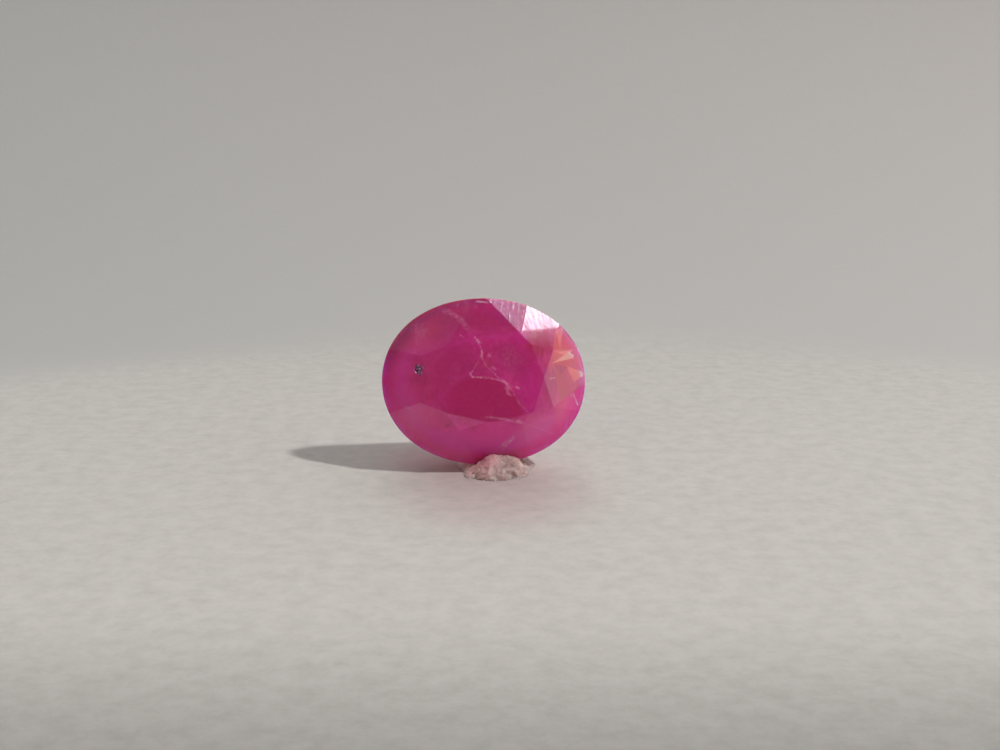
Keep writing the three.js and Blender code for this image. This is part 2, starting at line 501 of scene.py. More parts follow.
# %% The parts of the cut
lying = add_node(tree, "ShaderNodeMapping",
                 {"Location": girdle_middle * MM, "Rotation": standing.to_euler(),
                  "Scale": (LENGTH / 2 * MM, WIDTH / 2 * MM, 1.0)}, {"Vector": place},
                 vector_type="TEXTURE").outputs["Vector"]
flat = add_node(tree, "ShaderNodeVectorMath", {1: (1, 1, 0)}, {0: lying},
                operation="MULTIPLY").outputs["Vector"]
outward = add_node(tree, "ShaderNodeVectorMath", None, {0: flat}, operation="LENGTH").outputs["Value"]
height = add_node(tree, "ShaderNodeSeparateXYZ", None, {"Vector": lying}).outputs["Z"]
apart = add_node(tree, "ShaderNodeSeparateXYZ", None, {"Vector": place})
print("girdle's middle at", [round(c, 2) for c in girdle_middle], "mm")

# %% [markdown]
# The soft zones are ellipsoids, each round a place on the surface. Their borders would look drawn if they
# were smooth, so a noise pattern pushes every place a little to the side before its distance is measured.

# %% Soft zones of colour
STRAY_SIZE = 1.2         # mm across one push of the noise
STRAY_REACH = 1.5        # how far it pushes at the softest edge, in half sizes
# Five zones are painted light and shade, not the stone's own colour: the ones at the lower left and at the
# bottom paint light into the shaded side, the dark rose one at the right end paints shade where the key lamp
# is strong, and the two on the kite and lilac facets paint shade under the lamps that they mirror.
ZONES = {
    # pixel of the middle, half sizes in mm (along X, Y and Z), colour, strength, softness of the edge
    "painted_light_left": ((397, 408), (2.7, 3.0, 2.9), "#ff48a8", 1.0, 0.7),
    "painted_light_low": ((470, 449), (4.8, 3.0, 1.7), "#ff38b0", 1.0, 0.6),
    "rose_low": ((547, 430), (1.9, 2.5, 1.2), "#f468b4", 0.6, 0.6),
    "deep_top": ((488, 313), (3.2, 2.0, 1.7), "#ac0458", 0.8, 0.6),
    "deep_upper": ((438, 322), (2.4, 2.0, 1.2), "#a80c5c", 0.6, 0.6),
    "deep_left": ((434, 368), (1.4, 2.0, 2.2), "#c01868", 0.6, 0.7),
    "deep_middle": ((455, 352), (1.3, 2.0, 1.6), "#bc0870", 0.5, 0.7),
    "violet_right": ((533, 385), (1.0, 1.5, 1.6), "#d41498", 0.6, 0.7),
    "haze_upper_left": ((413, 330), (2.0, 1.5, 1.4), "#cc2c68", 0.6, 0.6),
    "painted_shade_right": ((560, 380), (1.4, 2.5, 1.8), "#b42c64", 0.75, 0.5),
    "lift_right": ((572, 412), (1.2, 2.5, 1.6), "#f86090", 0.8, 0.6),
    "deep_right": ((519, 352), (1.5, 2.0, 1.7), "#b80870", 0.6, 0.7),
    "painted_shade_kite": ((541, 342), (1.0, 1.5, 0.8), "#b01050", 0.85, 0.4),
    "painted_shade_lilac": ((510, 314), (1.1, 1.5, 0.7), "#a81474", 0.6, 0.5),
}


def sizes_away(tree, place, middle, half_sizes):
    """The way from a middle to a place, counted in half sizes along each axis."""
    way = add_node(tree, "ShaderNodeVectorMath", {1: middle}, {0: place},
                   operation="SUBTRACT").outputs["Vector"]
    return add_node(tree, "ShaderNodeVectorMath", {1: Vector(half_sizes) * MM}, {0: way},
                    operation="DIVIDE").outputs["Vector"]


stray = add_node(tree, "ShaderNodeTexNoise", {"Scale": 1 / (STRAY_SIZE * MM), "Detail": 4.0},
                 {"Vector": place})
off_middle = add_node(tree, "ShaderNodeVectorMath", {1: (0.5, 0.5, 0.5)}, {0: stray.outputs["Color"]},
                      operation="SUBTRACT").outputs["Vector"]
for middle, half_sizes, zone_colour, strength, softness in ZONES.values():
    in_sizes = sizes_away(tree, place, on_stone(middle), half_sizes)
    strayed = add_node(tree, "ShaderNodeVectorMath", {"Scale": STRAY_REACH * softness}, {0: off_middle},
                       operation="SCALE").outputs["Vector"]
    ragged = add_node(tree, "ShaderNodeVectorMath", None, {0: in_sizes, 1: strayed},
                      operation="ADD").outputs["Vector"]
    reach = add_node(tree, "ShaderNodeVectorMath", None, {0: ragged}, operation="LENGTH").outputs["Value"]
    share = add_node(tree, "ShaderNodeMapRange", {"From Min": 1 + softness / 3, "From Max": 1 - softness,
                                                  "To Max": strength},
                     {"Value": reach}, interpolation_type="SMOOTHSTEP").outputs["Result"]
    colour = lay_over(tree, share, colour, zone_colour)
print(len(ZONES), "zones")

# %% [markdown]
# Under the long arc in the table the colour is deeper, with a sharp border at the arc. That is a round patch
# which ends at the table's edge and fades out to the left.

# %% The deep patch under the arc
UNDER_ARC = (480, 420)            # pixel of its middle
UNDER_ARC_RADIUS = 2.4            # mm
UNDER_ARC_BORDER = (1.04, 0.88)   # from where it begins to where it is full, of its radius
UNDER_ARC_LEFT = (-3.2, -1.4)     # mm along X over which it fades in
UNDER_ARC_SHARE = 0.95
TABLE_SKIN = 0.02                 # mm below the table that still count as the table

to_arc = add_node(tree, "ShaderNodeVectorMath", {1: on_stone(UNDER_ARC)}, {0: place},
                  operation="DISTANCE").outputs["Value"]
begins, full = (part * UNDER_ARC_RADIUS * MM for part in UNDER_ARC_BORDER)
under = add_node(tree, "ShaderNodeMapRange", {"From Min": begins, "From Max": full,
                                              "To Max": UNDER_ARC_SHARE},
                 {"Value": to_arc}, interpolation_type="SMOOTHSTEP").outputs["Result"]
on_table = add_node(tree, "ShaderNodeMath", {1: (table_height - TABLE_SKIN) * MM}, {0: height},
                    operation="GREATER_THAN").outputs["Value"]
share = add_node(tree, "ShaderNodeMath", None, {0: under, 1: on_table},
                 operation="MULTIPLY").outputs["Value"]
begins, full = (x * MM for x in UNDER_ARC_LEFT)
from_left = add_node(tree, "ShaderNodeMapRange", {"From Min": begins, "From Max": full},
                     {"Value": apart.outputs["X"]}, interpolation_type="SMOOTHSTEP").outputs["Result"]
share = add_node(tree, "ShaderNodeMath", None, {0: share, 1: from_left},
                 operation="MULTIPLY").outputs["Value"]
colour = lay_over(tree, share, colour, "#c80870")
print("deep patch", 2 * UNDER_ARC_RADIUS, "mm across")

# %% [markdown]
# Near the rim the light leaves through steep facets. This light and shade is painted into the rim's colour:
# painted shade darkens the upper rim, and the lower rim, which faces the lit surface below, is painted a
# clear red.

# %% The rim
RIM_TOP_SHADE = [(0.84, "#b81450"), (0.92, "#a00c3c"), (1.0, "#70040c")]    # how far out, and colour
RIM_LOW_LIGHT = [(0.8, "#fc2c94"), (0.92, "#ff2080"), (1.0, "#f80c50")]
RIM_FULL = 0.96                 # how far out the rim's colour hides all others
RIM_CHANGE = (3.5, 7.0)         # mm above the floor, from the lower colours to the upper ones

# painted light and shade at the rim
begins, full = (z * MM for z in RIM_CHANGE)
upper = add_node(tree, "ShaderNodeMapRange", {"From Min": begins, "From Max": full},
                 {"Value": apart.outputs["Z"]}, interpolation_type="SMOOTHSTEP").outputs["Result"]
low_rim_light = tint_by(tree, outward, *RIM_LOW_LIGHT)
rim_light_and_shade = lay_over(tree, upper, low_rim_light, tint_by(tree, outward, *RIM_TOP_SHADE))
rim = add_node(tree, "ShaderNodeMapRange", {"From Min": RIM_LOW_LIGHT[0][0], "From Max": RIM_FULL},
               {"Value": outward}, interpolation_type="SMOOTHSTEP").outputs["Result"]
colour = lay_over(tree, rim, colour, rim_light_and_shade)
print("rim from", RIM_LOW_LIGHT[0][0], "of the way out")

# %% [markdown]
# The bright triangles are light that the back facets throw. Each is a wedge between three planes through
# the eye point. The planes are worked out once, from fixed points, so they don't move with the camera, and
# the wedges end at the girdle so that the back of the stone stays free of them.

# %% Triangles of light
TRIANGLE_BLUR = 0.03     # mm to either side of an edge
TRIANGLES = [
    # patches of light thrown by the back facets: three pixels, colour
    (((556, 320), (600, 345), (552, 368)), "#d85058"),
    (((590, 335), (600, 382), (552, 368)), "#d04454"),
    (((553, 364), (596, 378), (560, 400)), "#c84868"),
    (((568, 330), (592, 344), (577, 352)), "#c03c4c"),
    (((556, 330), (563, 327), (560, 348)), "#f47c70"),
    (((557, 352), (572, 350), (568, 357)), "#f88274"),
    (((552.5, 363), (569, 352), (574, 358)), "#ffa08c"),
    (((573, 357), (587, 361), (585, 374)), "#e4403c"),
    (((566, 366), (586, 373), (574, 382)), "#f87c6c"),
    (((553, 364), (568, 367), (561, 374)), "#b83460"),
    (((545, 362), (552, 352), (552, 378)), "#d03870"),
]


def within(tree, place, pixels, blur):
    """1 inside a triangle that shows at three pixels, 0 outside, with its edges blurred."""
    rays = [sight_through(pixel) for pixel in pixels]
    middle = sum(rays, Vector())
    inside = None
    for i, ray in enumerate(rays):
        inward = ray.cross(rays[(i + 1) % 3]).normalized()
        if inward.dot(middle) < 0:
            inward.negate()
        depth = add_node(tree, "ShaderNodeVectorMath", {1: inward}, {0: place},
                         operation="DOT_PRODUCT").outputs["Value"]
        border = inward.dot(eye) * MM
        past = add_node(tree, "ShaderNodeMapRange", {"From Min": border - blur, "From Max": border + blur},
                        {"Value": depth}).outputs["Result"]
        if inside is None:
            inside = past
        else:
            inside = add_node(tree, "ShaderNodeMath", None, {0: inside, 1: past},
                              operation="MINIMUM").outputs["Value"]
    return inside


on_crown = add_node(tree, "ShaderNodeMath", {1: 0.5 * GIRDLE * MM}, {0: height},
                    operation="GREATER_THAN").outputs["Value"]
for pixels, patch_colour in TRIANGLES:
    patch = within(tree, place, pixels, TRIANGLE_BLUR * MM)
    share = add_node(tree, "ShaderNodeMath", None, {0: patch, 1: on_crown},
                     operation="MULTIPLY").outputs["Value"]
    colour = lay_over(tree, share, colour, patch_colour)
print(len(TRIANGLES), "triangles of light")

# %% [markdown]
# The right end was polished less well. Pale streaks follow the lap's lines there, so their pattern is laid
# on the polish UV map and stretched along V.

# %% Streaks at the right end
STREAK_SPACING = 0.16    # mm between the brush-like streaks
STREAK_SHARE = 0.3       # how strongly they show
STREAK_RISE = (1.5, 4.0)    # mm along X over which they come up

flat_on_facet = add_node(tree, "ShaderNodeUVMap", uv_map="polish").outputs["UV"]
streak_place = add_node(tree, "ShaderNodeMapping", {"Scale": (1 / STREAK_SPACING, 0.7, 1)},
                        {"Vector": flat_on_facet})
streaks = add_node(tree, "ShaderNodeTexNoise", {"Scale": 1.0, "Detail": 4.0, "Roughness": 0.6},
                   {"Vector": streak_place.outputs["Vector"]})
streak = add_node(tree, "ShaderNodeMapRange", {"From Min": 0.5, "From Max": 0.68},
                  {"Value": streaks.outputs["Fac"]}).outputs["Result"]
begins, full = (x * MM for x in STREAK_RISE)
at_right = add_node(tree, "ShaderNodeMapRange", {"From Min": begins, "From Max": full,
                                                 "To Max": STREAK_SHARE},
                    {"Value": apart.outputs["X"]}, interpolation_type="SMOOTHSTEP").outputs["Result"]
share = add_node(tree, "ShaderNodeMath", None, {0: streak, 1: at_right},
                 operation="MULTIPLY").outputs["Value"]
colour = lay_over(tree, share, colour, "#f458a0")
print("streaks from X =", STREAK_RISE[0], "mm")

# %% [markdown]
# A veil is a healed crack seen edge on, and here it is a path of straight pieces with a strength at each
# point. Chips and crumbs are very short veils. The list gives the pixels that a path runs through.

# %% The veils
SILVERY = "#ffacd8"      # a healed crack
# The chip white below serves real chips and one painted glint.
CHIP_AND_GLINT_WHITE = "#ffe4e0"        # a fresh chip
DARK = "#84084c"         # a dark grain
VEILS = {
    # colour, half width in mm, then pixels along the mark and how strongly it shows at each
    "arc": (SILVERY, 0.028, [(469, 373, 0.5), (472, 376.5, 1.0), (482, 377, 0.8), (490, 377.5, 0.7),
                             (498, 379.5, 0.75), (505, 382.5, 1.0), (508, 386, 0.6), (512, 391, 0.35),
                             (520, 404, 0.2), (527, 411, 0.4)]),
    "slope": (SILVERY, 0.03, [(475, 337, 1.0), (477, 340, 0.6), (480, 346, 0.3), (482, 352, 0.8),
                              (482, 358, 0.6), (487, 366, 0.45), (494, 373, 0.5), (505, 382.5, 0.6)]),
    "slope_left": (SILVERY, 0.025, [(482, 353, 0.35), (476, 365, 0.2), (470, 374, 0.5)]),
    "flecks": (CHIP_AND_GLINT_WHITE, 0.035, [(478, 340, 0.5), (479, 342, 0.7), (481, 343, 0.2)]),
    "flecks_left": (SILVERY, 0.03, [(461, 336, 0.7), (463, 337, 0.5)]),
    "flecks_middle": (SILVERY, 0.04, [(493, 367, 0.7), (495, 369, 0.5)]),
    "flecks_low": (CHIP_AND_GLINT_WHITE, 0.03, [(516, 387, 0.6), (518, 388, 0.5)]),
    "flecks_right": (SILVERY, 0.04, [(505, 388, 0.6), (507, 393, 0.5), (511, 395, 0.3)]),
    "crumbs": (SILVERY, 0.07, [(489, 353, 0.0), (490, 355, 0.5), (492, 357, 0.0)]),
    "fork": (SILVERY, 0.03, [(505, 382.5, 0.8), (510, 386, 0.4), (514, 387, 0.0)]),
    "tail": (SILVERY, 0.03, [(505, 382.5, 0.5), (508, 389, 0.5), (510, 394, 0.0)]),
    "upper_sweep": (SILVERY, 0.09, [(437, 309, 0.0), (447, 311, 0.3), (458, 317, 0.35), (466, 326, 0.25),
                                    (472, 336, 0.0)]),
    "upper_haze": (SILVERY, 0.22, [(412, 322, 0.0), (420, 330, 0.22), (424, 346, 0.0)]),
    "middle_haze": (SILVERY, 0.3, [(500, 345, 0.0), (510, 358, 0.14), (520, 372, 0.0)]),
    "wisp": (SILVERY, 0.04, [(478, 417, 0.0), (492, 417.5, 0.4), (503, 419, 0.6), (512, 421, 0.35),
                             (523, 424, 0.0)]),
    "dot": (SILVERY, 0.05, [(518, 421.5, 0.8), (521, 423, 0.8)]),
    "lower_line": (SILVERY, 0.03, [(522, 423, 0.1), (537, 428, 0.25), (553, 434, 0.15)]),
    "brushed": (SILVERY, 0.06, [(516, 434, 0.0), (511, 440, 0.8), (506, 445, 0.6), (501, 452, 0.0)]),
    "brushed_again": (SILVERY, 0.05, [(510, 437, 0.0), (504, 443, 0.6), (499, 449, 0.0)]),
    "left_arc": (SILVERY, 0.04, [(396, 402, 0.0), (408, 408, 0.25), (420, 414, 0.0)]),
    "chip_right": (CHIP_AND_GLINT_WHITE, 0.05, [(580.5, 371.5, 0.9), (581.5, 375, 0.95)]),
    "chip_low": (CHIP_AND_GLINT_WHITE, 0.03, [(573, 393, 0.3), (575, 398, 0.8), (577.5, 404, 0.95)]),
    "chip_edge": (CHIP_AND_GLINT_WHITE, 0.03, [(571, 394, 0.3), (572, 396, 0.7)]),
    "dash": (CHIP_AND_GLINT_WHITE, 0.025, [(549.5, 379.3, 0.5), (555, 378.8, 0.95)]),
    "chip_top": (CHIP_AND_GLINT_WHITE, 0.04, [(477, 301.5, 0.6), (485, 302, 0.5), (489, 303, 0.2)]),
    # painted glint: a spot of light, not a chip
    "painted_glint": (CHIP_AND_GLINT_WHITE, 0.035, [(568, 352, 0.5), (573, 356.5, 0.9)]),
    "dark_crumb": (DARK, 0.07, [(445, 426.5, 0.3), (448, 425.5, 0.6), (451, 424, 0.2)]),
    "dark_edge": (DARK, 0.03, [(553, 350, 0.5), (549, 362, 0.5), (546, 375, 0.4), (544, 385, 0.1)]),
}

# %% [markdown]
# As shader nodes, a veil shows where a place is close to the nearest piece of its path. The places are
# first pushed aside by the same noise that made the zones ragged, so that no veil is ruler-straight, and a
# fine speckle breaks it up. The speckle lies over the whole stone as well, as a trace of dust.

# %% Laying the veils
VEIL_CORE = 0.2          # half widths from the path to where a veil begins to fade
VEIL_END = 2.8           # and to where it ends
WANDER = 0.22            # mm that a veil strays from its drawn path
SPECK_SIZE = 0.2         # mm
DUST_SHARE = 0.08


def crossing(tree, place, points, half_width):
    """How much of a veil shows at a place: a path of straight pieces, with a strength at each point."""
    most = None
    for (start, from_strength), (end, to_strength) in zip(points, points[1:]):
        way = end - start
        from_start = add_node(tree, "ShaderNodeVectorMath", {1: start}, {0: place},
                              operation="SUBTRACT").outputs["Vector"]
        along = add_node(tree, "ShaderNodeVectorMath", {1: way / way.length_squared}, {0: from_start},
                         operation="DOT_PRODUCT").outputs["Value"]
        share = add_node(tree, "ShaderNodeClamp", None, {"Value": along}).outputs["Result"]
        foot = add_node(tree, "ShaderNodeVectorMath", {0: way}, {"Scale": share},
                        operation="SCALE").outputs["Vector"]
        gap = add_node(tree, "ShaderNodeVectorMath", None, {0: from_start, 1: foot},
                       operation="DISTANCE").outputs["Value"]
        near = add_node(tree, "ShaderNodeMapRange",
                        {"From Min": VEIL_END * half_width, "From Max": VEIL_CORE * half_width},
                        {"Value": gap}, interpolation_type="SMOOTHSTEP").outputs["Result"]
        here = add_node(tree, "ShaderNodeMapRange", {"To Min": from_strength, "To Max": to_strength},
                        {"Value": share}).outputs["Result"]
        shows = add_node(tree, "ShaderNodeMath", None, {0: near, 1: here},
                         operation="MULTIPLY").outputs["Value"]
        if most is None:
            most = shows
        else:
            most = add_node(tree, "ShaderNodeMath", None, {0: most, 1: shows},
                            operation="MAXIMUM").outputs["Value"]
    return most


wander = add_node(tree, "ShaderNodeVectorMath", {"Scale": WANDER * MM}, {0: off_middle},
                  operation="SCALE").outputs["Vector"]
wandered = add_node(tree, "ShaderNodeVectorMath", None, {0: place, 1: wander},
                    operation="ADD").outputs["Vector"]
specks = add_node(tree, "ShaderNodeTexNoise", {"Scale": 1 / (SPECK_SIZE * MM), "Detail": 4.0,
                                               "Roughness": 0.75}, {"Vector": place})
dusty = add_node(tree, "ShaderNodeMapRange", {"From Min": 0.48, "From Max": 0.66, "To Max": DUST_SHARE},
                 {"Value": specks.outputs["Fac"]}).outputs["Result"]
colour = lay_over(tree, dusty, colour, "#f870b0")
broken = add_node(tree, "ShaderNodeMapRange", {"From Min": 0.4, "From Max": 0.6, "To Min": 0.15},
                  {"Value": specks.outputs["Fac"]}).outputs["Result"]
for mark_colour, half_width, pixels in VEILS.values():
    points = [(on_stone(pixel[:2]), pixel[2]) for pixel in pixels]
    line = crossing(tree, wandered, points, half_width * MM)
    share = add_node(tree, "ShaderNodeMath", None, {0: line, 1: broken},
                     operation="MULTIPLY").outputs["Value"]
    colour = lay_over(tree, share, colour, mark_colour)
print(len(VEILS), "veils,", len(tree.nodes), "nodes in all")

# %% [markdown]
# With the colour done, the surface follows. Subsurface scattering gives the glow, a share of plain
# transmission with absorption the little that is clear, and a sharp coat the polish on top. The coat's
# normal carries the lap's lines, so the reflections alone are scratched.

# %% The glow and the polish
RUBY_IOR = 1.77
LINE_SPACING = 0.1       # mm between polish lines: real ones are ten times finer and wouldn't show
GROOVE_DEPTH = 0.004     # mm
GLOW_REACH = 3.0         # mm: red and blue light go 1.5 times as far inside, green 0.6 times

lines_place = add_node(tree, "ShaderNodeMapping", {"Scale": (1 / LINE_SPACING, 0.6, 1)},
                       {"Vector": flat_on_facet})
lines = add_node(tree, "ShaderNodeTexNoise", {"Scale": 1.0, "Detail": 3.0},
                 {"Vector": lines_place.outputs["Vector"]})
grooves = add_node(tree, "ShaderNodeMapRange", {"From Min": 0.54, "From Max": 0.66},
                   {"Value": lines.outputs["Fac"]}).outputs["Result"]
bump = add_node(tree, "ShaderNodeBump", {"Strength": 1.0, "Distance": GROOVE_DEPTH * MM},
                {"Height": grooves})
surface = add_node(tree, "ShaderNodeBsdfPrincipled",
                   {"Roughness": 0.12, "IOR": RUBY_IOR, "Transmission Weight": 0.3,
                    "Subsurface Weight": 1.0, "Subsurface Radius": (1.5, 0.6, 1.5),
                    "Subsurface Scale": GLOW_REACH * MM,
                    "Coat Weight": 0.75, "Coat Roughness": 0.025, "Coat IOR": RUBY_IOR,
                    "Specular IOR Level": 0.0},
                   {"Base Color": colour, "Coat Normal": bump.outputs["Normal"]})
absorb = add_node(tree, "ShaderNodeVolumeAbsorption", {"Color": linear("#ee4090"), "Density": 300.0})
add_node(tree, "ShaderNodeOutputMaterial",
         links={"Surface": surface.outputs["BSDF"], "Volume": absorb.outputs["Volume"]})
print("polish lines", LINE_SPACING, "mm apart and", GROOVE_DEPTH, "mm deep")

# %% [markdown]
# The torn pit was never polished. Its walls are rough and dark, with pale patches that are painted glints,
# and they get a broken colour and a bump a tenth of a millimetre across.

# %% The pit's finish
BREAK_SIZE = 0.12        # mm
BREAK_DEPTH = 0.03       # mm


def pit_finish():
    """The pit's broken walls: dark, with pale patches of painted glint."""
    material, tree = new_material("broken_ruby")
    place = add_node(tree, "ShaderNodeTexCoord").outputs["Object"]
    steps = add_node(tree, "ShaderNodeTexNoise", {"Scale": 1 / (BREAK_SIZE * MM), "Detail": 3.0},
                     {"Vector": place})
    # The palest stop paints glints into the broken colour.
    colour = tint_by(tree, steps.outputs["Fac"], (0.4, "#5a1c4c"), (0.5, "#9c4080"), (0.6, "#e8b8dc"))
    bump = add_node(tree, "ShaderNodeBump", {"Strength": 1.0, "Distance": BREAK_DEPTH * MM},
                    {"Height": steps.outputs["Fac"]})
    surface = add_node(tree, "ShaderNodeBsdfPrincipled", {"Roughness": 0.25, "IOR": RUBY_IOR},
                       {"Base Color": colour, "Normal": bump.outputs["Normal"]})
    add_node(tree, "ShaderNodeOutputMaterial", links={"Surface": surface.outputs["BSDF"]})
    return material


# %% [markdown]
# The stone is done. The slots that were set aside when the pit was cut get their finishes, and the stone
# takes the place of the CAD node.

# %% The finished stone
stone.data.materials[0] = ruby
stone.data.materials[1] = pit_finish()
to_metres(stone, None)
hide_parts("ruby")

# %% [markdown]
# ## The putty
#
# The stone's lower edge is pressed into a pinch of waxy putty, kneaded between two fingers and flattened
# underneath. It starts as a dense ball, because kneading has no straight lines to model from: the ball is
# pushed into a few broad folds, the left end is pressed lower, and displacement adds the dents and the
# crinkled skin.

# %% The lump
DAB_SIZE = Vector((1.75, 2.3, 1.25))    # half sizes, mm
DAB_PLACE = (0.6, 0.5)          # right of the girdle's middle, and behind the stone's lowest point
DAB_SINK = 0.12                 # how far the middle of the lump lies under the surface
FOLD = 0.07                     # height of the three broad folds, of the radius
CREASE = 0.04                   # and of the five creases between them
DENT = 0.05                     # and of the finger dents all over
LEFT_HEIGHT = 0.62              # height of the pressed left end, as a share
LEFT_REACH = 0.88               # and how far it comes forward
SQUARENESS = 3.2                # 2 is a round plan, more is squarer
SQUARE_SHARE = 0.6              # and how much of that shows
HUMP_RISE = (-0.7, -0.1)        # from the low left end to full height, of the half width
FOOT_HEIGHT = 0.55              # mm: below this the pressed lump spreads sideways over the surface
FOOT_SPREAD = 0.14              # as a share of its width

start_fresh()
bpy.ops.mesh.primitive_ico_sphere_add(subdivisions=7, radius=1)
putty = bpy.context.active_object
putty.name = "putty_lump"


def smooth_step(start, end, value):
    """A soft rise from 0 at start to 1 at end."""
    share = min(max((value - start) / (end - start), 0), 1)
    return share * share * (3 - 2 * share)


for vertex in putty.data.vertices:
    round_it = math.atan2(vertex.co.y, vertex.co.x)
    flank = math.sqrt(max(0, 1 - vertex.co.z ** 2))
    folds = FOLD * math.sin(3 * round_it + 0.6)
    creases = CREASE * math.sin(5 * round_it - 2.5 * vertex.co.z)
    dents = DENT * math.sin(4.2 * vertex.co.x + 1) * math.cos(5.3 * vertex.co.y)
    spread = abs(math.cos(round_it)) ** SQUARENESS + abs(math.sin(round_it)) ** SQUARENESS
    squarer = spread ** (-1 / SQUARENESS)
    place = vertex.co * (1 + flank * (folds + creases + SQUARE_SHARE * (squarer - 1)) + dents)
    hump = smooth_step(*HUMP_RISE, place.x)
    place.z *= LEFT_HEIGHT + (1 - LEFT_HEIGHT) * hump
    if place.y < 0:
        place.y *= LEFT_REACH + (1 - LEFT_REACH) * hump
    place *= DAB_SIZE
    foot_share = min(max(1 - (place.z - DAB_SINK) / FOOT_HEIGHT, 0), 1)
    place.x *= 1 + FOOT_SPREAD * foot_share ** 2
    vertex.co = place
putty.location = (girdle_middle.x + DAB_PLACE[0], seat.y + DAB_PLACE[1], -DAB_SINK)
bpy.ops.object.transform_apply(location=True, rotation=True, scale=True)
print("lump", [round(side, 2) for side in putty.dimensions], "mm")

# %% [markdown]
# Displace moves each point along its normal by a texture. A cloudy texture gives dents the size of a
# thumbnail's edge, a ridged one the sharp creases of skin that has been folded over, and a fine one the
# grain.

# %% Dents, creases and grain
SKIN = [
    # kind of texture, size in mm, how far it moves the skin in mm
    ("CLOUDS", 0.6, 0.15),
    ("MUSGRAVE", 0.32, 0.045),
    ("CLOUDS", 0.1, 0.03),
]
pick(putty)
for kind, size, reach in SKIN:
    texture = bpy.data.textures.new("skin", kind)
    texture.noise_scale = size
    if kind == "MUSGRAVE":
        texture.musgrave_type = "RIDGED_MULTIFRACTAL"
    finish_with(putty, "DISPLACE", texture=texture, texture_coords="LOCAL", strength=reach, mid_level=0.5)
print("skin on", len(putty.data.vertices), "points")

# %% [markdown]
# Fingers left a few deeper pits in the putty and pinched two places up. Each is a soft push along the way
# in which the camera looks, strongest in its middle. A negative depth pulls the skin out.

# %% Pits and a pinched ridge
PUTTY_PRESSES = [
    # pixel, radius in mm, depth in mm
    ((513, 476), 0.2, 0.2),
    ((507, 474), 0.13, 0.08),
    ((485, 469), 0.13, 0.12),
    ((477, 475), 0.14, 0.1),
    ((496, 463), 0.12, -0.06),
    ((475, 479), 0.09, 0.15),
    ((480, 481), 0.1, 0.2),
    ((526, 471), 0.12, -0.05),
]
for pixel, radius, depth in PUTTY_PRESSES:
    spot = seen_at(putty, pixel)
    for vertex in putty.data.vertices:
        gap = (vertex.co - spot).length
        if gap < 2 * radius:
            vertex.co -= sight_back * depth * math.exp(-(gap / radius) ** 2)
putty.data.update()
print(len(PUTTY_PRESSES), "pits and ridges")

# %% [markdown]
# Then the lump is cut flat where it sits on the surface, and the stone is pressed in: its sharp copy, grown
# by a hair, is taken out of the lump with a Boolean. The lip that is left in front of the stone's edge is
# what holds it.

# %% Flat underneath, and the stone's pocket
POCKET_GAP = 0.012       # mm between the stone and the putty
CREASE_ANGLE = 50        # degrees, from which a crease is shaded sharp

pick(putty)
bpy.ops.object.mode_set(mode="EDIT")
bpy.ops.mesh.select_all(action="SELECT")
bpy.ops.mesh.bisect(plane_co=(0, 0, 0), plane_no=(0, 0, -1), use_fill=True, clear_outer=True)
bpy.ops.object.mode_set(mode="OBJECT")

grown = 1 + 2 * POCKET_GAP / WIDTH
pocket.data.transform(Matrix.Translation(girdle_middle) @ Matrix.Scale(grown, 4)
                      @ Matrix.Translation(-girdle_middle))
take_out(putty, pocket)
bpy.ops.object.shade_smooth_by_angle(angle=math.radians(CREASE_ANGLE))
print("putty:", len(putty.data.polygons), "faces")

# %% [markdown]
# Putty of this kind is wax and fine filler. It lets a little light in, so its thin lips look warm and soft.
# Painted light adds to that: the stone's red glow is painted on the lip where the two touch, and the shaded
# left end is painted paler.

# %% The putty's finish
MOTTLE_SIZE = 0.45       # mm across one patch of the mottling
WAX_GRAIN = 0.06         # mm across a grain of the filler
WAX_GRAIN_DEPTH = 0.02   # mm
WAX_GLOW = 0.6           # mm that red light goes inside
# Painted light: the shaded left end is made paler.
PAINTED_LIGHT_LEFT_END = (0.9, -0.5)   # mm along X, from where the putty begins to be paler to where it is palest
# Painted glow: the stone's red light comes up on the lip.
PAINTED_GLOW_RISE = (0.35, 1.0)   # mm above the floor over which the stone's colour comes up on the lip
PAINTED_GLOW_END = (1.3, 0.1)     # and mm along X, from right to left


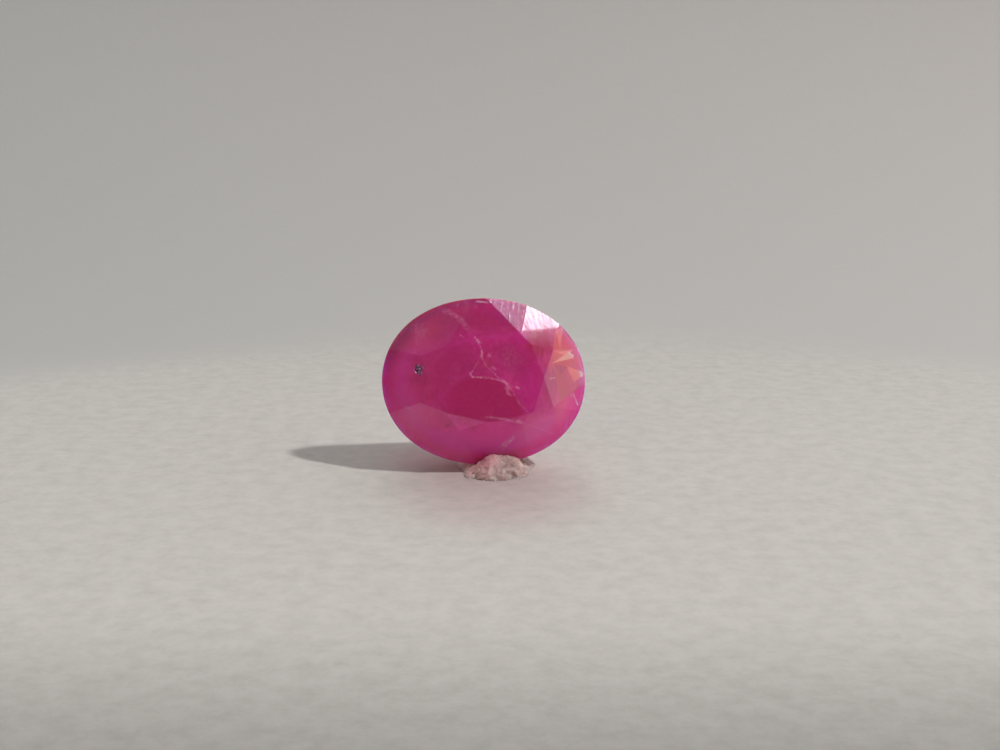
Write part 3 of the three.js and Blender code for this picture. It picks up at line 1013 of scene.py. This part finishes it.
def putty_finish():
    """Kneaded wax putty: matt, a little translucent, mottled where it was folded."""
    material, tree = new_material("kneaded_putty")
    place = add_node(tree, "ShaderNodeTexCoord").outputs["Object"]
    mottle = add_node(tree, "ShaderNodeTexNoise", {"Scale": 1 / (MOTTLE_SIZE * MM), "Detail": 6.0,
                                                   "Roughness": 0.65, "Distortion": 0.6}, {"Vector": place})
    body = tint_by(tree, mottle.outputs["Fac"], (0.3, "#94797a"), (0.46, "#a58c89"), (0.58, "#b39c98"),
                   (0.72, "#d6c4bd"))
    apart = add_node(tree, "ShaderNodeSeparateXYZ", None, {"Vector": place})
    # painted light on the shaded left end
    begins, full = (x * MM for x in PAINTED_LIGHT_LEFT_END)
    left = add_node(tree, "ShaderNodeMapRange", {"From Min": begins, "From Max": full, "To Max": 0.9},
                    {"Value": apart.outputs["X"]}, interpolation_type="SMOOTHSTEP").outputs["Result"]
    colour = lay_over(tree, left, body, "#dcb4b2")
    # painted glow of the stone's red light on the lip
    begins, full = (z * MM for z in PAINTED_GLOW_RISE)
    high = add_node(tree, "ShaderNodeMapRange", {"From Min": begins, "From Max": full, "To Max": 0.5},
                    {"Value": apart.outputs["Z"]}, interpolation_type="SMOOTHSTEP").outputs["Result"]
    begins, full = (x * MM for x in PAINTED_GLOW_END)
    lip = add_node(tree, "ShaderNodeMapRange", {"From Min": begins, "From Max": full},
                   {"Value": apart.outputs["X"]}, interpolation_type="SMOOTHSTEP").outputs["Result"]
    share = add_node(tree, "ShaderNodeMath", None, {0: high, 1: lip}, operation="MULTIPLY").outputs["Value"]
    colour = lay_over(tree, share, colour, "#bc6c80")
    grain = add_node(tree, "ShaderNodeTexNoise", {"Scale": 1 / (WAX_GRAIN * MM), "Detail": 5.0,
                                                  "Roughness": 0.7}, {"Vector": place})
    bump = add_node(tree, "ShaderNodeBump", {"Strength": 0.6, "Distance": WAX_GRAIN_DEPTH * MM},
                    {"Height": grain.outputs["Fac"]})
    surface = add_node(tree, "ShaderNodeBsdfPrincipled",
                       {"Roughness": 0.55, "IOR": 1.45, "Subsurface Weight": 1.0,
                        "Subsurface Radius": (1.0, 0.75, 0.65), "Subsurface Scale": WAX_GLOW * MM},
                       {"Base Color": colour, "Normal": bump.outputs["Normal"]})
    add_node(tree, "ShaderNodeOutputMaterial", links={"Surface": surface.outputs["BSDF"]})
    return material


# %% [markdown]
# Putty picks up lint. A few short pale fibres stick out of its foot and lie on the surface. Each fibre is a
# short curve with a round section, made a mesh. A ray through each pixel of a column, from below, finds the
# place where the putty meets the surface, and the fibre starts a little inside it.

# %% A fibre at the foot
FIBRE_RADIUS = 0.025     # mm
FIBRE_FRONT = -3.58      # no fibre reaches further forward, in mm
FIBRE_ROOT = 0.08        # mm of it inside the putty
FIBRE_LENGTH = (0.2, 0.45)
FIBRE_BOW = 0.04         # mm that it bows up from the surface
FIBRE_BEND = 0.15        # mm that its end bends aside, at most
LEFTWARD = (-170, -125)  # directions in degrees, 0 to the right and -90 to the front
RIGHTWARD = (-55, -10)
FOOT_ROWS = range(486, 466, -1)    # rows of pixels where the foot is looked for


def foot_at(column):
    """The lowest place of the putty that shows in a column of pixels, or None."""
    for row in FOOT_ROWS:
        found, spot = putty.ray_cast(eye, sight_through((column, row)))[:2]
        if found:
            return spot
    return None


def add_fibre(foot):
    """A fibre that lies on the surface, from the foot of the putty forward and to one side."""
    start_fresh()
    bpy.ops.curve.primitive_bezier_curve_add(radius=1)
    fibre = bpy.context.active_object
    fibre.data.bevel_depth = FIBRE_RADIUS * random.uniform(0.6, 1)
    fibre.data.bevel_resolution = 1
    fibre.data.resolution_u = 10
    fibre.data.use_fill_caps = True
    length = random.uniform(*FIBRE_LENGTH)
    swing = math.radians(random.choice((random.uniform(*LEFTWARD), random.uniform(*RIGHTWARD))))
    away = Vector((math.cos(swing), math.sin(swing), 0))
    length = min(length, (foot.y - FIBRE_FRONT) / -away.y)
    aside = Vector((-away.y, away.x, 0)) * random.uniform(-FIBRE_BEND, FIBRE_BEND)
    root = Vector((foot.x, foot.y + FIBRE_ROOT, FIBRE_RADIUS))
    end = Vector((foot.x, foot.y, FIBRE_RADIUS)) + away * length
    first, last = fibre.data.splines[0].bezier_points
    first.co, last.co = root, end
    first.handle_right = root + away * length * 0.4 + Vector((0, 0, FIBRE_BOW))
    first.handle_left = root - away * 0.1
    last.handle_left = end - away * length * 0.4 + aside
    last.handle_right = end + away * 0.1
    last.radius = 0.5
    bpy.ops.object.convert(target="MESH")
    return bpy.context.active_object


# %% [markdown]
# The fibres are joined in one piece. A fixed seed keeps them the same each time. Their finish is bleached
# cotton, matt and nearly white.

# %% Fibres at the foot
FIBRES_LEFT = 7
FIBRES_RIGHT = 2
COLUMNS_LEFT = (470, 500)     # pixels between which the left ones start
COLUMNS_RIGHT = (510, 528)
LINT_GRAIN = 0.1              # mm


def fibre_finish():
    """Bleached cotton lint: matt, a little uneven."""
    material, tree = new_material("cotton_lint")
    place = add_node(tree, "ShaderNodeTexCoord").outputs["Object"]
    dust = add_node(tree, "ShaderNodeTexNoise", {"Scale": 1 / (LINT_GRAIN * MM), "Detail": 3.0},
                    {"Vector": place})
    colour = tint_by(tree, dust.outputs["Fac"], (0.35, "#c4b8b0"), (0.65, "#e8e0d8"))
    surface = add_node(tree, "ShaderNodeBsdfPrincipled", {"Roughness": 0.8, "IOR": 1.5},
                       {"Base Color": colour})
    add_node(tree, "ShaderNodeOutputMaterial", links={"Surface": surface.outputs["BSDF"]})
    return material


random.seed(8)
fibres = []
for columns in [COLUMNS_LEFT] * FIBRES_LEFT + [COLUMNS_RIGHT] * FIBRES_RIGHT:
    foot = foot_at(random.uniform(*columns))
    if foot is not None:
        fibres.append(add_fibre(foot))
pick(fibres[0])
for fibre in fibres:
    fibre.select_set(True)
bpy.ops.object.join()
lint = bpy.context.active_object
lint.name = "putty_lint"
bpy.ops.object.transform_apply(location=True, rotation=True, scale=True)
for vertex in lint.data.vertices:
    vertex.co.z = max(vertex.co.z, 0)
bpy.ops.object.shade_smooth()
print(len(fibres), "fibres,", len(lint.data.polygons), "faces")
to_metres(lint, fibre_finish())

# %% [markdown]
# Only now is the putty shrunk to metres: until here, rays in millimetres had to meet it.

# %% The finished putty
to_metres(putty, putty_finish())
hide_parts("putty")

# %% [markdown]
# ## Floor and backdrop
#
# The stone stands on matt plaster that sweeps up into a backdrop, as in a photographer's light tent. It is
# one plane: its back edge is spun upward through a quarter turn and then pulled up.

# %% The sweep of the floor
FLOOR_HALF = 1500.0      # mm from the stone to its left, right and front edges
FLOOR_BACK = 30.0        # where the floor begins to rise behind the stone
SWEEP = 35.0             # radius of the rise
SWEEP_STEPS = 24
WALL_TOP = 42.0          # just above the picture's upper edge, so that light comes in over it

start_fresh()
bpy.ops.mesh.primitive_plane_add(size=1)
floor = bpy.context.active_object
floor.name = "floor_and_backdrop"
floor.scale = (2 * FLOOR_HALF, FLOOR_HALF + FLOOR_BACK, 1)
floor.location = (0, (FLOOR_BACK - FLOOR_HALF) / 2, 0)
bpy.ops.object.transform_apply(location=True, rotation=True, scale=True)
bpy.ops.object.mode_set(mode="EDIT")
bpy.ops.mesh.select_mode(type="EDGE")
bpy.ops.mesh.select_all(action="DESELECT")
bpy.ops.object.mode_set(mode="OBJECT")
for edge in floor.data.edges:
    edge.select = all(floor.data.vertices[v].co.y > FLOOR_BACK - 1 for v in edge.vertices)
bpy.ops.object.mode_set(mode="EDIT")
bpy.ops.mesh.spin(steps=SWEEP_STEPS, angle=math.pi / 2, center=(0, FLOOR_BACK, SWEEP), axis=(-1, 0, 0))
bpy.ops.mesh.extrude_region_move(TRANSFORM_OT_translate={"value": (0, 0, WALL_TOP - SWEEP)})
bpy.ops.object.mode_set(mode="OBJECT")
bpy.ops.object.shade_smooth()
print("floor with", len(floor.data.polygons), "faces")

# %% [markdown]
# Plaster is chalky: rough, hardly shiny, with a fine grain. The pink light that the stone throws on the
# floor, and the soft shade round its front and in its shadow, are painted into the floor's colour: each is
# an ellipse of tint, multiplied onto the plaster's own colour.

# %% The floor's colour
GRAINS_PER_METRE = 900.0          # a grain of about 1.1 mm
PAINTED_GLOWS_AND_SHADE = [
    # middle, half sizes in mm, tint
    ((0.8, -6.0, 0), (7.5, 9.5, 5), "#f3e4e7"),
    ((-2.4, 1.4, 0), (4.2, 5.0, 5), "#f8e2e8"),
]
GLOW_CORE = 0.15                  # how far out a glow keeps its full tint, as a share

plaster, tree = new_material("matt_plaster")
place = add_node(tree, "ShaderNodeTexCoord").outputs["Object"]
grain = add_node(tree, "ShaderNodeTexNoise", {"Scale": GRAINS_PER_METRE, "Detail": 6.0, "Roughness": 0.7},
                 {"Vector": place})
floor_colour = tint_by(tree, grain.outputs["Fac"], (0.3, "#b9b6b2"), (0.55, "#c4c1bd"), (0.75, "#cac7c4"))
# painted pink light and shade from the stone
for middle, half_sizes, tint in PAINTED_GLOWS_AND_SHADE:
    in_sizes = sizes_away(tree, place, Vector(middle) * MM, half_sizes)
    reach = add_node(tree, "ShaderNodeVectorMath", None, {0: in_sizes}, operation="LENGTH").outputs["Value"]
    share = add_node(tree, "ShaderNodeMapRange", {"From Min": 1.0, "From Max": GLOW_CORE},
                     {"Value": reach}, interpolation_type="SMOOTHSTEP").outputs["Result"]
    floor_colour = add_node(tree, "ShaderNodeMix", {7: linear(tint)}, {"Factor": share, 6: floor_colour},
                            data_type="RGBA", blend_type="MULTIPLY").outputs[2]
print(len(PAINTED_GLOWS_AND_SHADE), "pink glows on the floor")

# %% [markdown]
# The backdrop is lit on its own and gets its own colour, with painted light that brightens it upward and to
# the right. It takes over where the bright floor round the stone ends.

# %% The backdrop's colour
# Painted light: the backdrop is brighter to the right and upward, darker at its foot.
WALL_WIDTH = (-60.0, 60.0)        # mm along X, from the left colour to the right one
WALL_RISE = 35.0                  # mm of height over which it brightens
WALL_FOOT_SHADE = 0.84                  # its brightness at the foot
FLOOR_MIDDLE = (4.0, -26.0)       # middle of the bright floor, mm
FLOOR_END = (56.0, 67.0)          # mm from there, from the floor's colour to the backdrop's

apart = add_node(tree, "ShaderNodeSeparateXYZ", None, {"Vector": place})
begins, full = (x * MM for x in WALL_WIDTH)
sideways = add_node(tree, "ShaderNodeMapRange", {"From Min": begins, "From Max": full},
                    {"Value": apart.outputs["X"]}).outputs["Result"]
wall_colour = tint_by(tree, sideways, (0.0, "#c5c5c4"), (1.0, "#d0cdcb"))
# painted shade toward the backdrop's foot
upward = add_node(tree, "ShaderNodeMapRange", {"From Min": 0.0, "From Max": WALL_RISE * MM,
                                               "To Min": WALL_FOOT_SHADE},
                  {"Value": apart.outputs["Z"]}).outputs["Result"]
wall_with_painted_light = add_node(tree, "ShaderNodeVectorMath", None, {0: wall_colour, "Scale": upward},
                 operation="SCALE").outputs["Vector"]
from_middle = add_node(tree, "ShaderNodeMapping",
                       {"Location": (-FLOOR_MIDDLE[0] * MM, -FLOOR_MIDDLE[1] * MM, 0)},
                       {"Vector": place}).outputs["Vector"]
distance = add_node(tree, "ShaderNodeVectorMath", None, {0: from_middle},
                    operation="LENGTH").outputs["Value"]
begins, full = (gap * MM for gap in FLOOR_END)
beyond = add_node(tree, "ShaderNodeMapRange", {"From Min": begins, "From Max": full},
                  {"Value": distance}, interpolation_type="SMOOTHSTEP").outputs["Result"]
colour = lay_over(tree, beyond, floor_colour, wall_with_painted_light)
print("backdrop from", FLOOR_END[0], "mm off the floor's bright middle")

# %% [markdown]
# Toward the camera the light falls off, which a last factor on the colour repeats. The grain then makes the
# plaster faintly bumpy as well.

# %% The plaster
FRONT_FADE = (-40.0, -21.0)       # mm along Y, from the dim front to full brightness
FRONT_SHARE = 0.6                 # brightness of the front
GRAIN_DEPTH = 0.1                 # mm

begins, full = (y * MM for y in FRONT_FADE)
front = add_node(tree, "ShaderNodeMapRange", {"From Min": begins, "From Max": full,
                                              "To Min": FRONT_SHARE},
                 {"Value": apart.outputs["Y"]}, interpolation_type="SMOOTHSTEP").outputs["Result"]
colour = add_node(tree, "ShaderNodeVectorMath", None, {0: colour, "Scale": front},
                  operation="SCALE").outputs["Vector"]
bump = add_node(tree, "ShaderNodeBump", {"Strength": 0.25, "Distance": GRAIN_DEPTH * MM},
                {"Height": grain.outputs["Fac"]})
surface = add_node(tree, "ShaderNodeBsdfPrincipled", {"Roughness": 0.9, "Specular IOR Level": 0.2},
                   {"Base Color": colour, "Normal": bump.outputs["Normal"]})
add_node(tree, "ShaderNodeOutputMaterial", links={"Surface": surface.outputs["BSDF"]})

pick(floor)
floor.scale = (MM, MM, MM)
bpy.ops.object.transform_apply(scale=True)
floor.data.materials.append(plaster)
print(floor.name, "is", round(floor.dimensions.x, 1), "m wide")

# %% [markdown]
# ## Lights
#
# A small strong lamp from the upper right throws the long shadow. Three facets mirror two weaker lamps
# that light nothing but reflections, and a wide fill from the lower left carries light into the shaded
# side.

# %% The lamps
LAMPS = {
    # direction towards it, mm away, radius in degrees as the stone sees it, radiance, colour
    "key_lamp": ((0.60, -0.235, 0.69), 900, 1.9, 570, "#fffdfa"),
    "glint_lamp": ((0.425, 0.359, 0.856), 400, 11.7, 11.5, "#f0f6ff"),
    "glint_edge_lamp": ((0.22, 0.24, 0.945), 400, 7, 1.5, "#e4e8ff"),
    "fill_lamp": ((-0.55, -0.75, 0.35), 400, 20, 0.8, "#fff6f2"),
}


def add_lamp(name, way, distance, radius_degrees, radiance, colour):
    """A round lamp that the stone sees at a given angular radius and radiance."""
    data = bpy.data.lights.new(name, "AREA")
    data.shape = "DISK"
    radius = distance * MM * math.tan(math.radians(radius_degrees))
    data.size = 2 * radius
    data.energy = radiance * math.pi * math.pi * radius ** 2
    data.color = linear(colour)[:3]
    lamp = bpy.data.objects.new(name, data)
    bpy.context.scene.collection.objects.link(lamp)
    lamp.location = (STONE_MIDDLE + way.normalized() * distance) * MM
    lamp.rotation_euler = way.to_track_quat("Z", "Y").to_euler()
    lamp.visible_camera = False
    return lamp


lamps = {name: add_lamp(name, Vector(way), *rest) for name, (way, *rest) in LAMPS.items()}
lamps["fill_lamp"].visible_glossy = False
for name in ("glint_lamp", "glint_edge_lamp"):
    lamps[name].visible_diffuse = False
    lamps[name].visible_transmission = False
print(len(lamps), "lamps")

# %% [markdown]
# The room around adds an even dim light and three soft bright patches, at the right, at the left and behind.
# The facets mirror them, which is what makes each facet a different pink.

# %% The room
ROOM_STRENGTH = 0.18
ROOM_LOBES = [
    # direction towards its centre, half width in degrees, strength
    ((1, -0.05, 0.1), 50, 1.0),
    ((-0.65, 0.15, 0.75), 40, 0.15),
    ((0.2, 0.62, 0.76), 34, 1.75),
]

world = bpy.data.worlds.new("room")
world.use_nodes = True
bpy.context.scene.world = world
tree = world.node_tree
tree.nodes.clear()
way = add_node(tree, "ShaderNodeTexCoord").outputs["Generated"]


def room_lobe(centre, half_width, strength):
    """A soft bright patch of the room: strength at its centre, nothing beyond half_width degrees."""
    toward = add_node(tree, "ShaderNodeVectorMath", {1: Vector(centre).normalized()}, {0: way},
                      operation="DOT_PRODUCT")
    return add_node(tree, "ShaderNodeMapRange",
                    {"From Min": math.cos(math.radians(half_width)), "From Max": 1.0, "To Max": strength},
                    {"Value": toward.outputs["Value"]}, interpolation_type="SMOOTHSTEP").outputs["Result"]


total, *others = [room_lobe(*lobe) for lobe in ROOM_LOBES]
for lobe in others:
    total = add_node(tree, "ShaderNodeMath", None, {0: total, 1: lobe}, operation="ADD").outputs["Value"]
strength = add_node(tree, "ShaderNodeMath", {1: ROOM_STRENGTH}, {0: total}, operation="ADD")
background = add_node(tree, "ShaderNodeBackground", {"Color": (1, 0.99, 0.97, 1)},
                      {"Strength": strength.outputs["Value"]})
add_node(tree, "ShaderNodeOutputWorld", links={"Surface": background.outputs["Background"]})
bpy.context.scene.view_settings.view_transform = "Standard"
print(len(ROOM_LOBES), "bright patches in the room")
